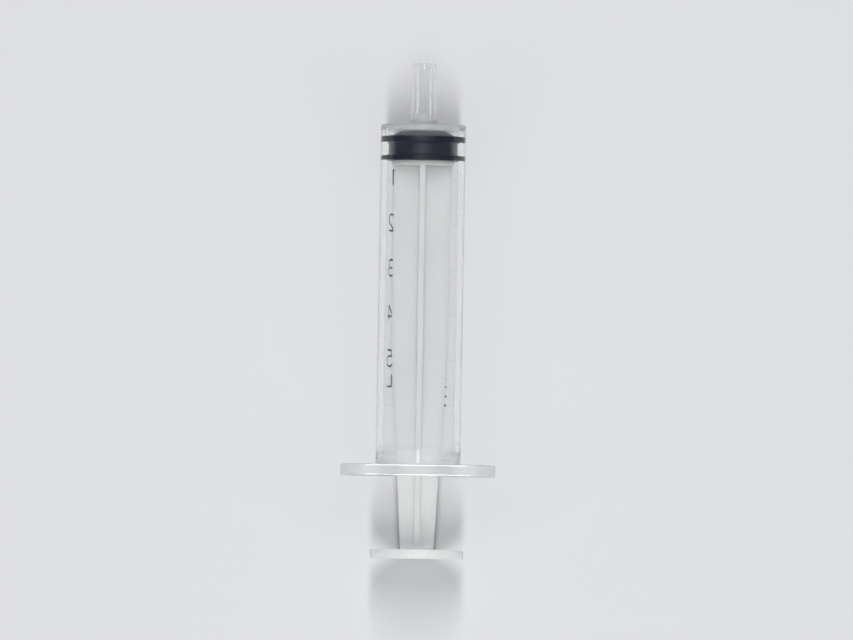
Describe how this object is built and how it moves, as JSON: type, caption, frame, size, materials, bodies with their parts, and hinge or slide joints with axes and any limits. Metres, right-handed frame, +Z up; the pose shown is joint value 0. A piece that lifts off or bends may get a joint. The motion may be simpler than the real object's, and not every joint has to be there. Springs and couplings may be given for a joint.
{
  "type": "luer slip syringe",
  "caption": "Three-piece disposable syringe with a slip tip: clear barrel with a graduated scale and finger flange, rubber gasket and a cross-shaft plunger rod.",
  "frame": {"origin": "under the middle of the syringe's length and width, on the surface it lies on", "axes": "+Y runs along the syringe towards its slip tip, +X along the finger flange's wings, +Z up, away from the printed side, which faces the surface"},
  "size_m": [0.027, 0.0864, 0.0176],
  "materials": {
    "clear_polypropylene": "clear moulded polypropylene, glossy",
    "black_rubber": "siliconed synthetic rubber, satin",
    "milky_polypropylene": "translucent milky polypropylene, satin",
    "black_ink": "screen-printed black ink"
  },
  "bodies": {
    "barrel": {"barrel": "clear_polypropylene", "graduation_scale": "black_ink"},
    "gasket": {"gasket": "black_rubber"},
    "plunger": {"plunger_rod": "milky_polypropylene"}
  },
  "joints": [
    {"name": "plunger_slide", "type": "slide", "parent": "barrel", "child": "gasket", "axis": [0, -0.9997, 0.0237], "range_m": [-0.0003, 0.05]},
    {"name": "plunger_twist", "type": "hinge", "parent": "gasket", "child": "plunger", "pos_m": [0, 0.02623, 0.00754], "axis": [0, -0.9997, 0.0237], "continuous": true}
  ]
}
